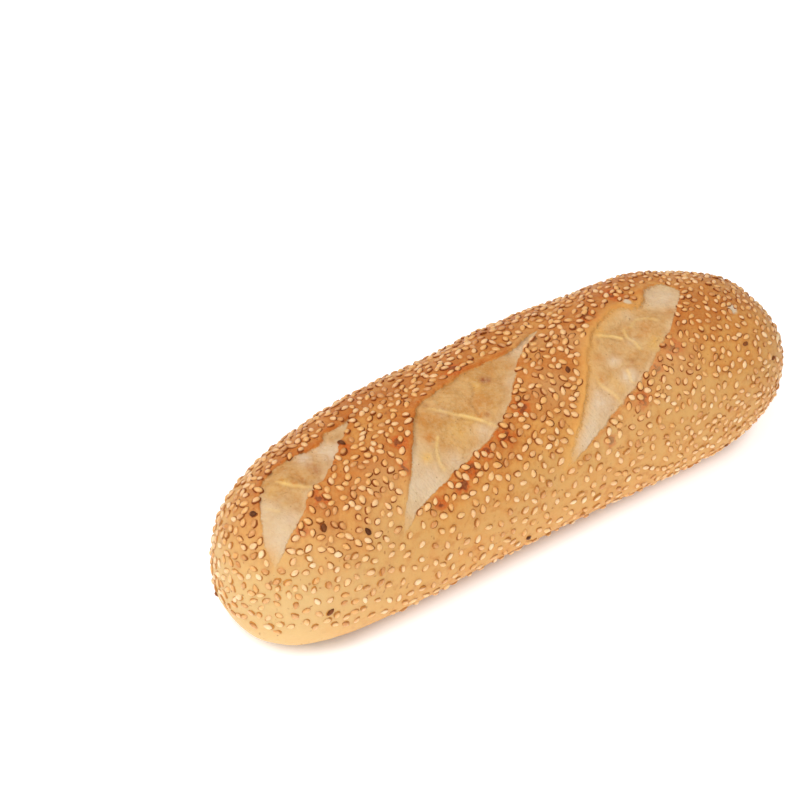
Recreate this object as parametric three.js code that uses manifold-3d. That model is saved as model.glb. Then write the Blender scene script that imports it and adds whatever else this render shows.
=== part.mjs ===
// A sesame mini baguette: one plump loaf, baked on its flat base, with three slanting scores
// cut into its crust and sesame seeds baked onto it.
//
// Millimetres, +Z up. The loaf lies along X, the surface it rests on is z = 0, and the origin
// is on that surface, under the middle of the loaf's box.

import * as THREE from 'three';
import { MeshSurfaceSampler } from 'three/addons/math/MeshSurfaceSampler.js';
import { mergeVertices } from 'three/addons/utils/BufferGeometryUtils.js';
import Module from 'manifold-3d';

// ---- the loaf ----------------------------------------------------------------------------
const LENGTH = 220;
const WIDTH = 70;
const HEIGHT = 56;
const WAIST = 23; // height of the loaf's widest line
const FLATTENED = 2; // what the base has lost of its roundness by lying on the baking tray
const BOW = 8; // the ends stand this far in front of the middle
const BOW_START = 0.9; // the middle stands this far behind the middle of the box
const TAPER = 0.02; // share by which the +X half is wider, and the -X half narrower
const ROUND_TOP = 2.2; // 2 is an ellipse, and more is squarer
const ROUND_UNDER = 3;
const END_PLAN = { left: 4, right: 4.9 }; // how square the ends are, seen from above
const END_PROFILE = { left: 10, right: 5.3 }; // and seen from the side

// Between the scores the crust stands up in low humps, which slant as the scores do.
const HUMP = 0.8;
const HUMP_PITCH = 60;
const HUMP_HOLLOW = 3; // one hollow between two humps crosses the X axis here
const SLANT = 1.8; // millimetres along X for each millimetre along Y

const STATIONS = 40;
const CROWDING = 1.35; // 1 spaces the stations evenly, and more crowds them towards the ends
const RING = 36;

// ---- the scores --------------------------------------------------------------------------
// A score opens into a leaf shape. Its two edges bulge from the straight line between its far
// and near tips, most at the share "peak" of the way, and "tail" says how slim the near end is.
const SCORES = [
  {
    far: [-48, 11.5],
    near: [-99, -21.3],
    left: { bulge: 14, peak: 0.6, tail: 1.3 },
    right: { bulge: 3.3, peak: 0.5, tail: 0.7 },
  },
  {
    far: [21.5, 9.5],
    near: [-57, -31],
    left: { bulge: 16, peak: 0.54, tail: 1.4 },
    right: { bulge: 9, peak: 0.44, tail: 1.4 },
  },
  {
    far: [78.5, 7.5],
    near: [7, -32],
    left: { bulge: 10.4, peak: 0.4, tail: 1.4 },
    right: { bulge: 11.3, peak: 0.4, tail: 1 },
  },
];
const RIM_DEPTH = 1.6; // the pale crumb lies this deep under the crust's torn edge
const CROWN_DEPTH = 0.4; // and this deep in the middle, where it has risen again
const TIP_SHARE = 0.06; // over this share of a score, at each tip, its floor climbs out
const TIP_CLIMB = 0.6; // to this height over the crust
const STEEPEST = 0.35; // least share of the surface's normal that points up, for those depths
const EDGE_WAVE = 0.5; // the torn edge wanders by this much
const SCORE_STEPS = 16;
const SCORE_LANES = 5;

// ---- the seeds ---------------------------------------------------------------------------
const SEED = { length: 3.2, width: 2.1, proud: 0.75, sunk: 0.5 };
const SEED_COUNT = 310;
const SEED_SIZES = [1.14, 0.92]; // the largest seed comes first and the smallest last
const SEED_TRIES = 14; // places that are tried for each seed, of which the emptiest is kept
const BARE_BELOW = { left: 15, right: 7 }; // no seeds lower than this at the two ends
const BARE_LIP = 1.8; // no seeds this close to a score

// ---- finish ------------------------------------------------------------------------------
const FINEST = 0.01; // no triangle is left with less height than this
const MENDING_PASSES = 6;

// ---- helpers -----------------------------------------------------------------------------

// A small random generator with a fixed seed, so that the loaf is always the same.
function randomFrom(seed) {
  let state = seed;
  return () => {
    state = (state * 1664525 + 1013904223) % 4294967296;
    return state / 4294967296;
  };
}

function signedPower(value, power) {
  return Math.sign(value) * Math.abs(value) ** power;
}

function endFall(t, ends) {
  const squareness = t < 0 ? ends.left : ends.right;
  return Math.sqrt(Math.max(0, 1 - Math.abs(t) ** squareness));
}

// ---- the loaf's surface ------------------------------------------------------------------
// t runs from -1 at the left end to 1 at the right end.

function halfWidth(t) {
  return (WIDTH / 2) * endFall(t, END_PLAN) * (1 + TAPER * t);
}

function centreLine(t) {
  return BOW_START - BOW * t * t;
}

function hump(x, y) {
  const phase = (2 * Math.PI * (x - SLANT * y - HUMP_HOLLOW)) / HUMP_PITCH;
  return -HUMP * Math.cos(phase);
}

// A point of the surface: angle 0 is the +Y side, and a quarter turn is the top.
function loafPoint(t, angle) {
  const side = Math.cos(angle);
  const lift = Math.sin(angle);
  const roundness = lift >= 0 ? ROUND_TOP : ROUND_UNDER;
  const reach = lift >= 0 ? HEIGHT - WAIST : WAIST + FLATTENED;
  const x = (t * LENGTH) / 2;
  const y = centreLine(t) + halfWidth(t) * signedPower(side, 2 / roundness);
  const rise = reach * signedPower(lift, 2 / roundness) + Math.max(0, lift) * hump(x, y);
  const z = WAIST + rise * endFall(t, END_PROFILE);
  return new THREE.Vector3(x, y, Math.max(0, z));
}

// The height of the loaf's upper side over a place.
function topHeight(x, y) {
  const t = (2 * x) / LENGTH;
  const across = Math.min(1, Math.abs(y - centreLine(t)) / halfWidth(t));
  const lift = (1 - across ** ROUND_TOP) ** (1 / ROUND_TOP);
  const rise = (HEIGHT - WAIST) * lift + lift ** (ROUND_TOP / 2) * hump(x, y);
  return WAIST + rise * endFall(t, END_PROFILE);
}

// ---- closed meshes -----------------------------------------------------------------------

// Corners that coincide become one, and triangles that have shrunk to nothing are dropped.
function closedGeometry(positions, faces) {
  const loose = new THREE.BufferGeometry();
  loose.setAttribute('position', new THREE.Float32BufferAttribute(positions, 3));
  loose.setIndex(faces);
  const merged = mergeVertices(loose, 1e-4);
  const index = merged.getIndex().array;
  const kept = [];
  for (let i = 0; i < index.length; i += 3) {
    const [a, b, c] = index.slice(i, i + 3);
    if (a !== b && b !== c && c !== a) kept.push(a, b, c);
  }
  merged.setIndex(kept);
  return merged;
}

function loafGeometry() {
  const positions = [];
  const faces = [];
  for (let i = 0; i <= STATIONS; i++) {
    const fromMiddle = (2 * i) / STATIONS - 1;
    const t = Math.sign(fromMiddle) * (1 - (1 - Math.abs(fromMiddle)) ** CROWDING);
    for (let j = 0; j < RING; j++) {
      positions.push(...loafPoint(t, (2 * Math.PI * j) / RING));
    }
  }
  for (let i = 0; i < STATIONS; i++) {
    for (let j = 0; j < RING; j++) {
      const a = i * RING + j;
      const b = i * RING + ((j + 1) % RING);
      faces.push(a, b, b + RING, a, b + RING, a + RING);
    }
  }
  return closedGeometry(positions, faces);
}

// ---- the scores --------------------------------------------------------------------------

function scoreAxes(score) {
  const far = new THREE.Vector2(...score.far);
  const along = new THREE.Vector2(...score.near).sub(far);
  const length = along.length();
  along.normalize();
  return { far, along, left: new THREE.Vector2(along.y, -along.x), length };
}

// How far an edge stands from the straight line between the tips, at share u of the way.
function edgeOffset(edge, u) {
  if (u <= 0 || u >= 1) return 0;
  const head = (edge.tail * edge.peak) / (1 - edge.peak);
  const leaf = (u / edge.peak) ** head * ((1 - u) / (1 - edge.peak)) ** edge.tail;
  const wave = Math.sin(27 * u + edge.bulge) * Math.sin(Math.PI * u);
  return edge.bulge * leaf + EDGE_WAVE * wave;
}

// A place in a score: u is the share from the far tip to the near one, and v is the share
// from the right edge to the left one.
function scorePlace(score, u, v) {
  const { far, along, left, length } = scoreAxes(score);
  const right = -edgeOffset(score.right, u);
  const across = right + (edgeOffset(score.left, u) - right) * v;
  return far.addScaledVector(along, u * length).addScaledVector(left, across);
}

function touchesScore(x, y, margin) {
  return SCORES.some((score) => {
    const { far, along, left, length } = scoreAxes(score);
    const place = new THREE.Vector2(x, y).sub(far);
    const u = place.dot(along) / length;
    const across = place.dot(left);
    const slack = margin / length;
    if (u < -slack || u > 1 + slack) return false;
    return across > -edgeOffset(score.right, u) - margin
      && across < edgeOffset(score.left, u) + margin;
  });
}

// How steeply the crust falls away at a place: 1 is level.
function levelness(x, y) {
  const step = 0.5;
  const slopeX = (topHeight(x + step, y) - topHeight(x - step, y)) / (2 * step);
  const slopeY = (topHeight(x, y + step) - topHeight(x, y - step)) / (2 * step);
  return Math.max(STEEPEST, 1 / Math.hypot(1, slopeX, slopeY));
}

// What a score takes out of the crust: its underside is the crumb that shows in the score,
// deepest along the torn edge and risen in the middle, and its upper side is above the loaf.
function scoreCutter(score) {
  const positions = [];
  const faces = [];
  const lanes = SCORE_LANES + 1;
  const layer = (SCORE_STEPS + 1) * lanes;
  const above = HEIGHT + 10;
  for (const upper of [false, true]) {
    for (let i = 0; i <= SCORE_STEPS; i++) {
      const u = (1 - Math.cos((Math.PI * i) / SCORE_STEPS)) / 2;
      for (let j = 0; j < lanes; j++) {
        const v = j / SCORE_LANES;
        const place = scorePlace(score, u, v);
        const risen = Math.sin(Math.PI * v) ** 0.7;
        const floor = THREE.MathUtils.lerp(RIM_DEPTH, CROWN_DEPTH, risen);
        const inside = THREE.MathUtils.smoothstep(Math.min(u, 1 - u), 0, TIP_SHARE);
        const depth = THREE.MathUtils.lerp(-TIP_CLIMB, floor, inside);
        const level = topHeight(place.x, place.y) - depth / levelness(place.x, place.y);
        positions.push(place.x, place.y, upper ? above : level);
      }
    }
  }
  const quad = (a, b, c, d) => faces.push(a, b, c, a, c, d);
  for (let i = 0; i < SCORE_STEPS; i++) {
    for (let j = 0; j < SCORE_LANES; j++) {
      const a = i * lanes + j;
      quad(a, a + lanes, a + lanes + 1, a + 1);
      quad(layer + a, layer + a + 1, layer + a + lanes + 1, layer + a + lanes);
    }
    const right = i * lanes;
    const left = right + SCORE_LANES;
    quad(right, layer + right, layer + right + lanes, right + lanes);
    quad(left, left + lanes, layer + left + lanes, layer + left);
  }
  return closedGeometry(positions, faces);
}

// ---- the seeds ---------------------------------------------------------------------------

// A flat drop with a ridge along its back: blunt at one end and pointed at the other.
function seedGeometry() {
  const half = SEED.length / 2;
  const wide = SEED.width / 2;
  const outline = [
    [half, 0],
    [0.3 * half, 0.85 * wide],
    [-0.5 * half, wide],
    [-0.95 * half, 0],
    [-0.5 * half, -wide],
    [0.3 * half, -0.85 * wide],
  ];
  const positions = [];
  outline.forEach(([x, y]) => positions.push(x, y, -SEED.sunk));
  positions.push(0.35 * half, 0, SEED.proud, -0.4 * half, 0, SEED.proud);
  const [front, back] = [6, 7];
  const faces = [
    0, 1, front, 1, 2, back, 1, back, front, 2, 3, back,
    3, 4, back, 4, 5, front, 4, front, back, 5, 0, front,
    0, 2, 1, 0, 3, 2, 0, 4, 3, 0, 5, 4,
  ];
  return closedGeometry(positions, faces);
}

function bareBelow(x) {
  const share = THREE.MathUtils.smoothstep(x, -LENGTH / 2, LENGTH / 4);
  return THREE.MathUtils.lerp(BARE_BELOW.left, BARE_BELOW.right, share);
}

// Places for the seeds, spread evenly: each new seed takes the emptiest of a few free places.
function seedPlaces() {
  const random = randomFrom(20);
  const skin = loafGeometry();
  skin.computeVertexNormals();
  const sampler = new MeshSurfaceSampler(new THREE.Mesh(skin)).setRandomGenerator(random).build();
  const freePlace = () => {
    for (;;) {
      const place = { point: new THREE.Vector3(), normal: new THREE.Vector3() };
      sampler.sample(place.point, place.normal);
      const { x, y, z } = place.point;
      if (z > bareBelow(x) && !touchesScore(x, y, BARE_LIP)) return place;
    }
  };
  const places = [];
  while (places.length < SEED_COUNT) {
    let best = null;
    for (let i = 0; i < SEED_TRIES; i++) {
      const place = freePlace();
      place.gap = Math.min(...places.map(({ point }) => point.distanceTo(place.point)));
      if (!best || place.gap > best.gap) best = place;
    }
    places.push({ ...best, turn: 2 * Math.PI * random() });
  }
  return places;
}

function seedMatrices() {
  const up = new THREE.Vector3(0, 0, 1);
  return seedPlaces().map(({ point, normal, turn }, i) => {
    const upright = new THREE.Quaternion().setFromUnitVectors(up, normal.normalize());
    const spin = new THREE.Quaternion().setFromAxisAngle(up, turn);
    const size = THREE.MathUtils.lerp(...SEED_SIZES, i / SEED_COUNT);
    const scale = new THREE.Vector3(size, size, size);
    return new THREE.Matrix4().compose(point, upright.multiply(spin), scale);
  });
}

// ---- one solid ---------------------------------------------------------------------------

const wasm = await Module();
wasm.setup();

function toSolid(geometry) {
  return new wasm.Manifold(new wasm.Mesh({
    numProp: 3,
    vertProperties: new Float32Array(geometry.getAttribute('position').array),
    triVerts: new Uint32Array(geometry.getIndex().array),
  }));
}

// The sides of a triangle, each as its two ends and the corner opposite.
function sides([a, b, c]) {
  return [[a, b, c], [b, c, a], [c, a, b]];
}

// Where facets meet almost in line, joining them leaves triangles with next to no height. One
// with a short side loses it, and one without gives its longest side to its neighbour.
function withoutSlivers(corners, triangles) {
  const length = ([a, b]) => corners[a].distanceTo(corners[b]);
  const byLength = (face) => sides(face).sort((one, other) => length(one) - length(other));
  const height = ([a, b, c]) => {
    const base = corners[b].clone().sub(corners[a]);
    return base.clone().cross(corners[c].clone().sub(corners[a])).length() / base.length();
  };
  let faces = triangles;
  for (let pass = 0; pass < MENDING_PASSES; pass++) {
    const faceOf = new Map();
    faces.forEach((face, i) => sides(face).forEach(([a, b]) => faceOf.set(`${a},${b}`, i)));
    const movedTo = new Map();
    const busy = new Set();
    faces.forEach((face, i) => {
      const [shortest, , longest] = byLength(face);
      if (height(longest) > FINEST) return;
      const [a, b, c] = longest;
      const neighbour = faceOf.get(`${b},${a}`);
      const d = faces[neighbour].find((corner) => corner !== a && corner !== b);
      if ([a, b, c, d].some((corner) => busy.has(corner))) return;
      if (length(shortest) < 3 * FINEST) {
        movedTo.set(shortest[1], shortest[0]);
      } else if (!faceOf.has(`${c},${d}`) && !faceOf.has(`${d},${c}`)) {
        faces[i] = [a, d, c];
        faces[neighbour] = [d, b, c];
      }
      [a, b, c, d].forEach((corner) => busy.add(corner));
    });
    faces = faces
      .map((face) => face.map((corner) => movedTo.get(corner) ?? corner))
      .filter(([a, b, c]) => a !== b && b !== c && c !== a);
  }
  return faces;
}

function toGeometry(solid) {
  const { vertProperties, triVerts } = solid.getMesh();
  const position = new THREE.BufferAttribute(vertProperties, 3);
  const corners = Array.from({ length: position.count }, (_, i) => (
    new THREE.Vector3().fromBufferAttribute(position, i)
  ));
  const triangles = Array.from({ length: triVerts.length / 3 }, (_, i) => (
    [...triVerts.subarray(3 * i, 3 * i + 3)]
  ));
  const geometry = new THREE.BufferGeometry();
  geometry.setAttribute('position', position);
  geometry.setIndex(withoutSlivers(corners, triangles).flat());
  return geometry;
}

function centred(geometry) {
  geometry.computeBoundingBox();
  const middle = geometry.boundingBox.getCenter(new THREE.Vector3());
  return geometry.translate(-middle.x, -middle.y, -geometry.boundingBox.min.z);
}

const cuts = SCORES.map((score) => toSolid(scoreCutter(score)));
const seeds = seedMatrices().map((matrix) => toSolid(seedGeometry().applyMatrix4(matrix)));
const scored = wasm.Manifold.difference([toSolid(loafGeometry()), ...cuts]);
const loaf = wasm.Manifold.union([scored, ...seeds]);

const crust = new THREE.MeshStandardMaterial({ color: 0xd99a52, roughness: 0.7, metalness: 0 });
const baguette = new THREE.Mesh(centred(toGeometry(loaf)), crust);
baguette.geometry.computeVertexNormals();
baguette.name = 'sesame_loaf';

const group = new THREE.Group();
group.add(baguette);

export default group;
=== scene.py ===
# %% [markdown]
# # A sesame mini baguette
#
# One short, plump loaf with rounded ends. Three slanting scores have opened in its crust and
# show pale crumb, and some two thousand sesame seeds are baked onto it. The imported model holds
# the loaf as one plain faceted solid, and this lesson dresses it: a finely shaped crust takes
# that solid's place, and every seed is a small mesh of its own, lying where it fell.

import math

import bpy
import numpy as np
from mathutils import Matrix, Vector
from mathutils.interpolate import poly_3d_calc
from mathutils.kdtree import KDTree


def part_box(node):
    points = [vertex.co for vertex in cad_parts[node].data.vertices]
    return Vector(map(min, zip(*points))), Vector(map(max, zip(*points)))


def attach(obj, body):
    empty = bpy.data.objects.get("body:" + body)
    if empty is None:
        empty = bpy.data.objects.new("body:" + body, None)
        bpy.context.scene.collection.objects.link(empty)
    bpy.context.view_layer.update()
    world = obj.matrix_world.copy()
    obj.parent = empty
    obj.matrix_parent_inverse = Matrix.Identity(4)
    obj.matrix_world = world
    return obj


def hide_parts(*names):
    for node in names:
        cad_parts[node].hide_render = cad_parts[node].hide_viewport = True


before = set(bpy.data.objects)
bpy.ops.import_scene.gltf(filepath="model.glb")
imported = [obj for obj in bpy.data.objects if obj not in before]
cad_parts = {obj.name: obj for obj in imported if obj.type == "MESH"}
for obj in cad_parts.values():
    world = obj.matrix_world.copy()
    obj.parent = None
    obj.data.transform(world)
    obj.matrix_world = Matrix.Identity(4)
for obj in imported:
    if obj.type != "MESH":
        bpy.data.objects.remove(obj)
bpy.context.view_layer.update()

MM = 0.001
LOAF_NODE = "sesame_loaf"
low_corner, high_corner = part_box(LOAF_NODE)
print("the solid loaf is", [round((b - a) / MM, 1) for a, b in zip(low_corner, high_corner)], "mm")

# %% [markdown]
# ## The camera
#
# The picture was taken with a long lens from above the loaf's near side, so the loaf hardly
# tapers with distance. A long lens far away gives that look. The camera is placed by the angles
# that it looks along, and it is moved sideways rather than shifted, so that the loaf lies right
# of the middle, as in the picture.

# %% Camera
IMAGE_WIDTH = 800
SENSOR = 36.0
AZIMUTH = math.radians(-35)
ELEVATION = math.radians(43)
CAMERA_DISTANCE = 1.1
FOCAL_IN_PIXELS = 3343
LOAF_MIDDLE = Vector((0, -0.00226, 0.025))
AIM_RIGHT = -0.032
AIM_UP = 0.0147


def looking_axes(azimuth, elevation):
    """The camera's own right, up and back, for the angles that it looks along."""
    level = math.cos(elevation)
    back = Vector((math.sin(azimuth) * level, -math.cos(azimuth) * level, math.sin(elevation)))
    right = Vector((math.cos(azimuth), math.sin(azimuth), 0))
    return right, back.cross(right), back


def turned(right, up, back):
    """The rotation that turns an object's own X, Y and Z to these three directions."""
    return Matrix((right, up, back)).transposed().to_euler()


right, up, back = looking_axes(AZIMUTH, ELEVATION)
camera_data = bpy.data.cameras.new("camera")
camera_data.sensor_width = SENSOR
camera_data.lens = FOCAL_IN_PIXELS * SENSOR / IMAGE_WIDTH
camera = bpy.data.objects.new("camera", camera_data)
camera.location = LOAF_MIDDLE + AIM_RIGHT * right + AIM_UP * up + CAMERA_DISTANCE * back
camera.rotation_euler = turned(right, up, back)
bpy.context.scene.collection.objects.link(camera)
bpy.context.scene.camera = camera
print("lens", round(camera_data.lens, 1), "mm")

# %% [markdown]
# ## Floor and light
#
# The loaf lies on a bright white table under large soft lights: one wide panel above and behind
# its left end, which puts small highlights on the upper side of every seed, and a broad weak
# one in front, which keeps the near side from going dark. The table glows a little from just
# outside the loaf, less so further out, which leaves only a faint narrow shadow.

# %% Helpers for materials
def srgb(red, green, blue):
    """A colour as it looks on a screen, 0 to 255, turned into the linear one that nodes use."""
    shares = [channel / 255 for channel in (red, green, blue)]
    linear = [s / 12.92 if s <= 0.04045 else ((s + 0.055) / 1.055) ** 2.4 for s in shares]
    return (*linear, 1.0)


class Nodes:
    """A material's node tree, with short calls for the nodes that this loaf needs."""

    def __init__(self, name):
        self.material = bpy.data.materials.new(name)
        self.material.use_nodes = True
        self.tree = self.material.node_tree
        self.shader = self.tree.nodes["Principled BSDF"]
        self.place = self.tree.nodes.new("ShaderNodeTexCoord").outputs["Object"]

    def put(self, socket, value):
        if isinstance(value, bpy.types.NodeSocket):
            self.tree.links.new(value, socket)
        else:
            socket.default_value = value

    def attribute(self, name, kind="Fac"):
        node = self.tree.nodes.new("ShaderNodeAttribute")
        node.attribute_name = name
        return node.outputs[kind]

    def noise(self, size, detail=3.0, roughness=0.55, seed=0.0, place=None):
        """Noise whose blotches are about this size in metres, from 0 to 1."""
        mapping = self.tree.nodes.new("ShaderNodeMapping")
        self.put(mapping.inputs["Vector"], place or self.place)
        mapping.inputs["Location"].default_value = (seed, seed * 0.7, seed * 0.3)
        node = self.tree.nodes.new("ShaderNodeTexNoise")
        self.put(node.inputs["Vector"], mapping.outputs[0])
        node.inputs["Scale"].default_value = 1 / size
        node.inputs["Detail"].default_value = detail
        node.inputs["Roughness"].default_value = roughness
        return node.outputs["Fac"]

    def times(self, a, b):
        return self.math("MULTIPLY", a, b)

    def math(self, operation, a, b=0.0, c=0.0):
        node = self.tree.nodes.new("ShaderNodeMath")
        node.operation = operation
        for socket, value in zip(node.inputs, (a, b, c)):
            self.put(socket, value)
        return node.outputs[0]

    def split(self, vector):
        node = self.tree.nodes.new("ShaderNodeSeparateXYZ")
        self.put(node.inputs[0], vector)
        return node.outputs

    def ramp(self, value, low, high, to_low=0.0, to_high=1.0):
        """Runs smoothly from to_low to to_high while value runs from low to high."""
        node = self.tree.nodes.new("ShaderNodeMapRange")
        node.interpolation_type = "SMOOTHSTEP"
        for socket, number in zip(node.inputs[:5], (value, low, high, to_low, to_high)):
            self.put(socket, number)
        return node.outputs[0]

    def mix(self, share, under, over):
        node = self.tree.nodes.new("ShaderNodeMix")
        node.data_type = "RGBA"
        self.put(node.inputs["Factor"], share)
        self.put(node.inputs[6], under)
        self.put(node.inputs[7], over)
        return node.outputs[2]

    def coats(self, colour, *coats):
        """Lays coats over a colour, one on the other, each given as its share and its colour."""
        for share, coat in coats:
            colour = self.mix(share, colour, coat)
        return colour

    def bump(self, height, distance, strength=1.0):
        node = self.tree.nodes.new("ShaderNodeBump")
        node.inputs["Distance"].default_value = distance
        node.inputs["Strength"].default_value = strength
        self.put(node.inputs["Height"], height)
        self.put(self.shader.inputs["Normal"], node.outputs[0])

    def finish(self, **values):
        for name, value in values.items():
            self.put(self.shader.inputs[name.replace("_", " ")], value)
        return self.material


# %% Helpers for modelling
def nothing_selected():
    """Leaves edit mode and selects nothing: operators act on all that is selected."""
    if bpy.context.object and bpy.context.object.mode != "OBJECT":
        bpy.ops.object.mode_set(mode="OBJECT")
    bpy.ops.object.select_all(action="DESELECT")


def edit_vertices(piece, chosen):
    """Opens a piece in edit mode with just the chosen vertices selected."""
    bpy.context.view_layer.objects.active = piece
    bpy.ops.object.mode_set(mode="EDIT")
    bpy.ops.mesh.select_mode(type="VERT")
    bpy.ops.mesh.select_all(action="DESELECT")
    bpy.ops.object.mode_set(mode="OBJECT")
    piece.data.vertices.foreach_set("select", [bool(choice) for choice in chosen])
    bpy.ops.object.mode_set(mode="EDIT")


def stop_editing():
    bpy.ops.object.mode_set(mode="OBJECT")


# %% Floor
FLOOR_SIZE = 3.0
TABLE_GLOW = 0.5
LOAF_LENGTH, LOAF_WIDTH = ((b - a) for a, b in list(zip(low_corner, high_corner))[:2])
SHADE_START = -12 * MM
SHADE_END = -3 * MM
GLOW_FADES = (20 * MM, 80 * MM)
FAR_GLOW = 0.3

nothing_selected()
bpy.ops.mesh.primitive_plane_add(size=FLOOR_SIZE)
floor = bpy.context.object
floor.name = "floor"
table = Nodes("light_table")
speckle = table.ramp(table.noise(0.004), 0.3, 0.7)
table_colour = table.mix(speckle, srgb(243, 246, 252), srgb(247, 249, 254))

place_x, place_y, _ = table.split(table.place)
straight = LOAF_LENGTH / 2 - LOAF_WIDTH / 2
past_straight = table.math("SUBTRACT", table.math("ABSOLUTE", place_x), straight)
past_straight = table.math("MAXIMUM", past_straight)
squares = table.times(past_straight, past_straight), table.times(place_y, place_y)
from_axis = table.math("SQRT", table.math("ADD", *squares))
past_loaf = table.math("SUBTRACT", from_axis, LOAF_WIDTH / 2)
near_glow = table.ramp(past_loaf, SHADE_START, SHADE_END, 0, TABLE_GLOW)
glow = table.times(near_glow, table.ramp(past_loaf, *GLOW_FADES, 1, FAR_GLOW))
floor.data.materials.append(
    table.finish(
        Base_Color=table_colour,
        Roughness=0.9,
        Emission_Color=(1, 1, 1, 1),
        Emission_Strength=glow,
    )
)
print("the floor glows from", round(-SHADE_START / MM), "mm inside the loaf's edge outwards")

# %% Lights
SKY = 0.6


def soft_panel(name, azimuth, elevation, distance, size, power):
    """A square light that looks at the loaf from these angles."""
    axes = looking_axes(math.radians(azimuth), math.radians(elevation))
    panel = bpy.data.lights.new(name, "AREA")
    panel.shape = "SQUARE"
    panel.size = size
    panel.energy = power
    light = bpy.data.objects.new(name, panel)
    light.location = LOAF_MIDDLE + distance * axes[2]
    light.rotation_euler = turned(*axes)
    bpy.context.scene.collection.objects.link(light)


soft_panel("key_panel", azimuth=-110, elevation=60, distance=1.4, size=1.1, power=10.3)
soft_panel("front_panel", azimuth=-25, elevation=28, distance=1.6, size=1.6, power=8.4)

world = bpy.data.worlds.new("studio")
world.use_nodes = True
world.node_tree.nodes["Background"].inputs["Color"].default_value = (1, 1, 1, 1)
world.node_tree.nodes["Background"].inputs["Strength"].default_value = SKY
bpy.context.scene.world = world
bpy.context.scene.view_settings.view_transform = "Standard"

# %% [markdown]
# ## The form of the loaf
#
# The loaf is one ring, drawn out along its length. The ring is a superellipse: rounder than a
# box and squarer than an ellipse, with a flatter underside. Along the loaf the ring keeps its
# shape and only shrinks towards the ends. These are the same sizes and rules that the solid was
# made from, so that the dressed loaf fills the solid's place exactly.

# %% Sizes of the loaf
LENGTH = 220 * MM
WIDTH = 70 * MM
HEIGHT = 56 * MM
WAIST = 23 * MM
FLATTENED = 2 * MM
BOW = 8 * MM
BOW_START = 0.9 * MM
TAPER = 0.02
ROUND_TOP = 2.2
ROUND_UNDER = 3
END_PLAN = (4, 4.9)
END_PROFILE = (10, 5.3)

HUMP = 0.8 * MM
HUMP_PITCH = 60 * MM
HUMP_HOLLOW = 3 * MM
SLANT = 1.8

STATIONS = 68
CROWDING = 1.35
RING = 64
HAIR = 0.01 * MM


def end_fall(t, squareness):
    """How much of the ring is left at t, which runs from -1 at the left end to 1."""
    power = np.where(np.asarray(t) < 0, *squareness)
    return np.sqrt(np.clip(1 - np.abs(t) ** power, 0, None))


def half_width(t):
    return WIDTH / 2 * end_fall(t, END_PLAN) * (1 + TAPER * np.asarray(t))


def centre_line(t):
    return BOW_START - BOW * np.asarray(t) ** 2


def hump(x, y):
    return -HUMP * np.cos(2 * math.pi * (x - SLANT * y - HUMP_HOLLOW) / HUMP_PITCH)


def top_lift(x, y):
    """The share of the crown's rise over the waist that the loaf reaches over a place."""
    t = 2 * x / LENGTH
    across = np.abs(y - centre_line(t)) / np.maximum(half_width(t), MM)
    return (1 - np.minimum(across, 1) ** ROUND_TOP) ** (1 / ROUND_TOP)


def top_height(x, y):
    lift = top_lift(x, y)
    rise = (HEIGHT - WAIST) * lift + lift ** (ROUND_TOP / 2) * hump(x, y)
    return WAIST + rise * end_fall(2 * x / LENGTH, END_PROFILE)


# %% [markdown]
# ## The crust, drawn out by hand
#
# By hand one adds a circle, presses it into the loaf's section, and then repeats three moves:
# extrude the ring, slide it along, and scale it. That is done here, ring by ring, from the left
# end to the right. Both ends are closed by merging a last ring to a point, the underside is
# pressed flat by scaling it to nothing in Z, and two levels of subdivision make it smooth.

# %% The first ring
stations = np.linspace(-1, 1, STATIONS + 1)
stations = np.sign(stations) * (1 - (1 - np.abs(stations)) ** CROWDING)

nothing_selected()
bpy.ops.mesh.primitive_circle_add(vertices=RING, radius=1)
crust = bpy.context.object
crust.name = "crust"
first = stations[1]
for vertex in crust.data.vertices:
    side, lift = vertex.co.x, vertex.co.y
    roundness = ROUND_TOP if lift >= 0 else ROUND_UNDER
    reach = HEIGHT - WAIST if lift >= 0 else WAIST + FLATTENED
    across = math.copysign(abs(side) ** (2 / roundness), side) * float(half_width(first))
    rise = math.copysign(abs(lift) ** (2 / roundness), lift) * reach
    vertex.co = (
        first * LENGTH / 2,
        float(centre_line(first)) + across,
        WAIST + rise * float(end_fall(first, END_PROFILE)),
    )

# %% Draw the ring out along the loaf
def draw_ring(start, end):
    """Extrudes the selected ring from one station to the next, and scales it on the way."""
    step = ((end - start) * LENGTH / 2, float(centre_line(end) - centre_line(start)), 0)
    bpy.ops.mesh.extrude_region_move(TRANSFORM_OT_translate={"value": step})
    middle = (end * LENGTH / 2, float(centre_line(end)), WAIST)
    wider = float(half_width(end) / half_width(start))
    taller = float(end_fall(end, END_PROFILE) / end_fall(start, END_PROFILE))
    bpy.ops.transform.resize(value=(1, wider, taller), center_override=middle)


def close_end(beyond):
    """Closes the selected ring on one point, this far along X."""
    bpy.ops.mesh.extrude_region_move(TRANSFORM_OT_translate={"value": (beyond, 0, 0)})
    bpy.ops.mesh.merge(type="CENTER")


bpy.ops.object.mode_set(mode="EDIT")
bpy.ops.mesh.select_mode(type="VERT")
bpy.ops.mesh.select_all(action="SELECT")
for start, end in zip(stations[1:-2], stations[2:-1]):
    draw_ring(start, end)
close_end((1 - stations[-2]) * LENGTH / 2)
stop_editing()
first_ring = first * LENGTH / 2 + HAIR
edit_vertices(crust, [vertex.co.x < first_ring for vertex in crust.data.vertices])
close_end((-1 - first) * LENGTH / 2)
bpy.ops.mesh.select_all(action="SELECT")
bpy.ops.mesh.normals_make_consistent(inside=False)
bpy.ops.object.mode_set(mode="OBJECT")
print("drawn out:", len(crust.data.vertices), "vertices")

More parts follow.
